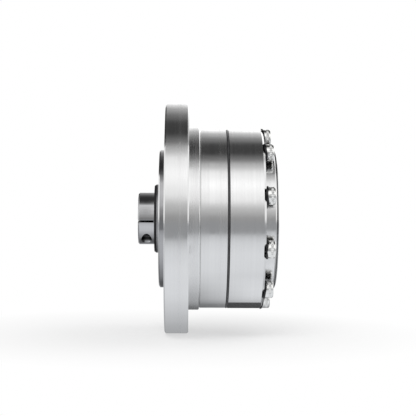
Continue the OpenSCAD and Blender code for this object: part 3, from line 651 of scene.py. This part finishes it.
hub_steel = ground("hub_steel", pale=(0.62, 0.62, 0.63), dark=(0.56, 0.56, 0.57))
# Painted shade: the shaft bore's wall is painted dark, for the shade inside it.
bore_shade = band_of(hub_steel, (0, BORE_R), (BORE_FROM, BORE_TO))
lay_over(hub_steel, bore_shade, "Mask", "Base Color", (0.12, 0.12, 0.12, 1))
lay_over(hub_steel, bore_shade, "Mask", "Roughness", 0.35)
edge = band_of(
    hub_steel, (HUB_R - EDGE_W, HUB_R + EDGE_SPARE), (HUB_FRONT - EDGE_SPARE, HUB_FRONT + EDGE_L)
)
lay_over(hub_steel, edge, "Mask", "Roughness", 0.45)
# Painted shade in the slit and in the clamp screw's pocket.
darken_clamp(hub_steel)
dress("input_hub", hub_steel)
dress("clamp_screw", black_screw_steel)

# ---------------------------------------------------------------------------
# Wave generator. An oval cam on the hub, held by black screws, and a thin ball
# bearing whose two races are bent to the oval.
ground_steel = ground("ground_steel", pale=(0.54, 0.54, 0.55), dark=(0.48, 0.48, 0.49))
dress("wave_generator_plug", ground_steel)
dress("wave_generator_screws", black_screw_steel)
for race in ("wave_bearing_inner_race", "wave_bearing_outer_race", "wave_bearing_balls"):
    dress(race, bright_steel)
dress("wave_bearing_cage", cage_plastic)

# ---------------------------------------------------------------------------
# Flexspline. A thin cup of spring-hard alloy steel with fine teeth round its
# open end, clamped to the output ring by a washer and black screws.
cup_steel = cut_metal(
    "flexspline_steel", pale=(0.62, 0.63, 0.64), dark=(0.50, 0.51, 0.53), rough=0.22, spread=0.05,
    lines=3000.0, line_depth=5e-7, anisotropic=0.4
)
dress("flexspline", cup_steel)
dress("flexspline_washer", ground_steel)
dress("flexspline_screws", black_screw_steel)

# ---------------------------------------------------------------------------
# Output ring. The bearing's inner ring, web and output face, turned from one
# piece of steel. The step at the rim of the face is coloured dark.
OUT_FACE_R = 28.05 * MM
OUT_STEP_X = 43.42 * MM
RIM_R, RIM_L = 0.6 * MM, 0.5 * MM
output_steel = turned("output_steel")
rim = band_of(output_steel, (OUT_FACE_R, OUT_FACE_R + RIM_R), (OUT_STEP_X, OUT_STEP_X + RIM_L))
lay_over(output_steel, rim, "Mask", "Base Color", (0.10, 0.10, 0.10, 1))
dress("output_ring", output_steel)

# ---------------------------------------------------------------------------
# Crossed rollers and their spacers, between the two rings of the bearing. The
# rollers are polished bearing steel, and the spacers moulded plastic.
dress("crossed_rollers", bright_steel)
dress("roller_spacers", cage_plastic)

# ---------------------------------------------------------------------------
# Studio: a pale floor under the flange, a white surround, soft lamps for what
# is matt, and a tent of graded cloth that only bare metal reflects.
FLOOR_Z = cad_box[0].z
FLOOR_R = 3.0
FLOOR_RINGS = (1.0, 0.3, 0.1, 1e-6)
TENT_R = 1.0
TENT_L = 1.2
TENT_LAP = 0.06
END_FOOT = -0.05
HUB_CLOTH_START = (-0.058, -0.054)
HUB_CLOTH_END = (-0.0315, -0.0285)
scene = bpy.context.scene
scene.view_settings.view_transform = "Standard"


def light_curve(tree, source, output, stops):
    """Gray levels over a value: stops are pairs of the value and its level."""
    first, last = stops[0][0], stops[-1][0]
    share = ramp(tree, source, output, 0.0, 1.0, first, last)
    curve = add_node(tree, "ShaderNodeValToRGB")
    curve.color_ramp.interpolation = "EASE"
    line = curve.color_ramp.elements
    line.remove(line[1])
    line[0].position, line[0].color = 0.0, (*[stops[0][1]] * 3, 1)
    for value, level in stops[1:]:
        line.new((value - first) / (last - first)).color = (level, level, level, 1)
    join(tree, share, "Result", curve, "Fac")
    return curve


def mix_colours(tree, factor, first, second, blend="MIX"):
    """A mix of two colours. Each is a pair of node and output, or a colour, and
    the factor is such a pair or a number."""
    mix = add_node(tree, "ShaderNodeMix", data_type="RGBA", blend_type=blend)
    for socket, value in (("Factor", factor), ("A", first), ("B", second)):
        if isinstance(value, tuple) and len(value) == 2:
            tree.links.new(value[0].outputs[value[1]], mix.inputs[socket])
        else:
            mix.inputs[socket].default_value = value
    return mix


def set_up(name, mesh, finish):
    """A thing of the studio, which isn't part of the object, with a material of
    its own. Gives its object, and its material's tree without a shader."""
    thing = bpy.data.objects.new(name, mesh)
    scene.collection.objects.link(thing)
    material, tree, shader = new_material(finish)
    tree.nodes.remove(shader)
    thing.data.materials.append(material)
    return thing, tree


def disc_points(radius, z, columns=96):
    """A flat disc that faces up: rings of points from its rim inwards."""
    turn = np.linspace(0, 2 * np.pi, columns, endpoint=False)
    radii = np.array(FLOOR_RINGS)[:, None] * radius
    flat = np.full((len(FLOOR_RINGS), columns), z)
    return np.stack([radii * np.cos(turn), radii * np.sin(turn), flat], -1)


def make_floor():
    """Paper that shows the object's shadow near it and runs out to white. Metal
    sees it as a glow with painted shade, darker under the object, and gray far
    in front and aside."""
    mesh = grid_mesh("floor", disc_points(FLOOR_R, FLOOR_Z)[None])
    tree = set_up("floor", mesh, "floor_paper")[1]
    paper = add_node(tree, "ShaderNodeBsdfDiffuse", in_Color=(0.90, 0.90, 0.90, 1))
    white = add_node(tree, "ShaderNodeEmission", in_Strength=1.0)
    mirrored = add_node(tree, "ShaderNodeEmission", in_Strength=1.0)
    path = add_node(tree, "ShaderNodeLightPath")
    where, split = object_place(tree)
    radius = add_node(tree, "ShaderNodeVectorMath", operation="LENGTH")
    join(tree, where, "Object", radius, 0)
    fade = ramp(tree, radius, "Value", 0.55, 1.0, 0.06, 0.12)
    seen = product(tree, (fade, "Result"), (path, "Is Camera Ray"))
    plain = add_node(tree, "ShaderNodeMixShader")
    join(tree, seen, "Value", plain, 0)
    join(tree, paper, "BSDF", plain, 1)
    join(tree, white, "Emission", plain, 2)

    # Its glow in metal, painted light and shade: from far in front to far behind,
    # brighter on the right under the object, and gray far aside.
    level = light_curve(tree, split, "Y", [
        (-0.18, 0.33), (-0.165, 0.33), (-0.145, 0.62), (-0.09, 0.79), (-0.065, 0.83),
        (-0.044, 0.81), (-0.03, 0.74), (-0.022, 0.68), (-0.015, 0.61), (-0.009, 0.55),
        (-0.003, 0.43), (0.001, 0.33), (0.006, 0.23), (0.02, 0.20), (0.045, 0.25),
        (0.10, 0.75), (0.16, 0.80)
    ])
    right = ramp(tree, split, "X", 0.78, 1.36, 0.012, 0.035)
    under = ramp(tree, split, "Y", 0.0, 1.0, -0.036, -0.014)
    level = mix_colours(tree, (under, "Result"), (level, "Color"), (right, "Result"), "MULTIPLY")
    aside = math_node(tree, "ABSOLUTE", (split, "X"))
    far = ramp(tree, aside, "Value", 0.0, 1.0, 0.2, 0.35)
    level = mix_colours(tree, (far, "Result"), (level, "Result"), (0.33, 0.33, 0.335, 1))
    cool = mix_colours(tree, 1.0, (level, "Result"), (0.98, 1.0, 1.03, 1), "MULTIPLY")
    join(tree, cool, "Result", mirrored, "Color")
    either = add_node(tree, "ShaderNodeMixShader")
    join(tree, path, "Is Glossy Ray", either, 0)
    join(tree, plain, "Shader", either, 1)
    join(tree, mirrored, "Emission", either, 2)
    join(tree, either, "Shader", tree.nodes["Material Output"], "Surface")


def hang_cloth(name, mesh, finish):
    """A lit cloth that glossy rays alone see. Gives its tree, its split place
    and its glow."""
    cloth, tree = set_up(name, mesh, finish)
    for ray in ("camera", "diffuse", "transmission", "shadow"):
        setattr(cloth, "visible_" + ray, False)
    split = object_place(tree)[1]
    glow = add_node(tree, "ShaderNodeEmission")
    join(tree, glow, "Emission", tree.nodes["Material Output"], "Surface")
    return tree, split, glow


def make_tent():
    """A half tube over the object, along X, lit from within by a curve over the
    angle from the front over the top to the back, which is the arc tangent of Z
    over -Y. A part on the left, which the clamp hub reflects, has its own curve."""
    angle = np.linspace(-TENT_LAP, np.pi + TENT_LAP, 69)[:, None]
    along = np.array([-TENT_L, TENT_L])
    arc = np.ones(2) * TENT_R
    points = np.stack([along * np.ones_like(angle), -np.cos(angle) * arc, np.sin(angle) * arc], -1)
    mesh = grid_mesh("tent", points[None], closed=False)
    tree, split, glow = hang_cloth("tent", mesh, "tent_cloth")
    ahead = math_node(tree, "MULTIPLY", (split, "Y"), -1.0)
    turn = math_node(tree, "ARCTAN2", (split, "Z"), (ahead, "Value"))
    cloth = light_curve(tree, turn, "Value", [(math.pi * share, level) for share, level in (
        (0.0, 0.26), (0.06, 0.42), (0.14, 0.80), (0.24, 0.94), (0.32, 0.80), (0.39, 0.44),
        (0.45, 0.14), (0.51, 0.04), (0.59, 0.045), (0.67, 0.14), (0.76, 0.32), (0.85, 0.62),
        (0.93, 0.88), (1.0, 0.75)
    )])
    hub_cloth = light_curve(tree, turn, "Value", [(math.pi * share, level) for share, level in (
        (0.0, 0.234), (0.067, 0.33), (0.133, 0.355), (0.20, 0.41), (0.267, 0.51),
        (0.335, 0.67), (0.373, 0.24), (0.407, 0.06), (0.467, 0.032), (0.60, 0.036),
        (0.667, 0.075), (0.733, 0.17), (0.80, 0.26), (0.867, 0.33), (0.933, 0.42), (1.0, 0.42)
    )])
    before_hub = product(
        tree, (ramp(tree, split, "X", 0.0, 1.0, *HUB_CLOTH_START), "Result"),
        (ramp(tree, split, "X", 1.0, 0.0, *HUB_CLOTH_END), "Result")
    )
    both = mix_colours(tree, (before_hub, "Value"), (cloth, "Color"), (hub_cloth, "Color"))
    join(tree, both, "Result", glow, "Color")

    # Its strength: even in front, and behind from weak on the left to strong on
    # the right.
    behind = ramp(tree, turn, "Value", 0.0, 1.0, 0.60 * math.pi, 0.68 * math.pi)
    right = ramp(tree, split, "X", 1.22, 2.0, 0.0, 0.09)
    left = ramp(tree, split, "X", 0.06, 1.0, -0.26, -0.10)
    back = product(tree, (right, "Result"), (left, "Result"))
    power = add_node(tree, "ShaderNodeMix", data_type="FLOAT", in_A=1.3)
    join(tree, behind, "Result", power, "Factor")
    join(tree, back, "Value", power, "B")
    join(tree, power, "Result", glow, "Strength")


def make_tent_end(name, x):
    """The tent's end wall: gray near the floor and bright above."""
    corners = [
        (x, -TENT_R, END_FOOT), (x, TENT_R, END_FOOT), (x, TENT_R, TENT_R), (x, -TENT_R, TENT_R)
    ]
    mesh = bpy.data.meshes.new(name)
    mesh.from_pydata(corners, [], [(0, 1, 2, 3)])
    tree, split, glow = hang_cloth(name, mesh, name)
    level = ramp(tree, split, "Z", 0.80, 1.0, END_FOOT, 0.03)
    join(tree, level, "Result", glow, "Strength")


def make_lamp(name, place, size, power):
    """A round lamp that looks at the origin, and that metal doesn't reflect."""
    lamp = bpy.data.objects.new(name, bpy.data.lights.new(name, "AREA"))
    lamp.data.shape = "DISK"
    lamp.data.size = size
    lamp.data.energy = power
    lamp.location = place
    lamp.rotation_mode = "QUATERNION"
    lamp.rotation_quaternion = (-lamp.location).to_track_quat("-Z", "Y")
    lamp.visible_glossy = False
    lamp.visible_camera = False
    scene.collection.objects.link(lamp)


def make_world():
    """A white surround for the camera and for gloss, and a weaker light."""
    world = bpy.data.worlds.new("studio")
    scene.world = world
    world.use_nodes = True
    tree = world.node_tree
    path = add_node(tree, "ShaderNodeLightPath")
    seen = math_node(tree, "MAXIMUM", (path, "Is Camera Ray"), (path, "Is Glossy Ray"))
    seen = math_node(tree, "MAXIMUM", (seen, "Value"), (path, "Is Transmission Ray"))
    level = ramp(tree, seen, "Value", 0.62, 1.0, 0.0, 1.0)
    join(tree, level, "Result", tree.nodes["Background"], "Strength")
    tree.nodes["Background"].inputs["Color"].default_value = (1, 1, 1, 1)


make_floor()
make_tent()
make_tent_end("tent_end_left", -TENT_L)
make_tent_end("tent_end_right", TENT_L)
make_lamp("key", place=(-0.3, -0.7, 0.9), size=0.6, power=4.0)
make_lamp("fill", place=(0.6, 0.5, 0.8), size=0.8, power=2.0)
make_world()

# ---------------------------------------------------------------------------
# Camera: level with the axis, square to it from the front, with a long lens
# that sees a given width at the axis.
DISTANCE = 480 * MM
VIEW_W = 169.7959 * MM
PLACE_X, PLACE_Z = 8.5 * MM, 4.4 * MM
TILT, PAN = -0.005, -0.0183
camera = bpy.data.objects.new("camera", bpy.data.cameras.new("camera"))
camera.data.lens = camera.data.sensor_width * DISTANCE / VIEW_W
camera.data.clip_start = 0.01
camera.location = (PLACE_X, -DISTANCE, PLACE_Z)
camera.rotation_mode = "XYZ"
camera.rotation_euler = (math.pi / 2, TILT, PAN)
scene.collection.objects.link(camera)
scene.camera = camera
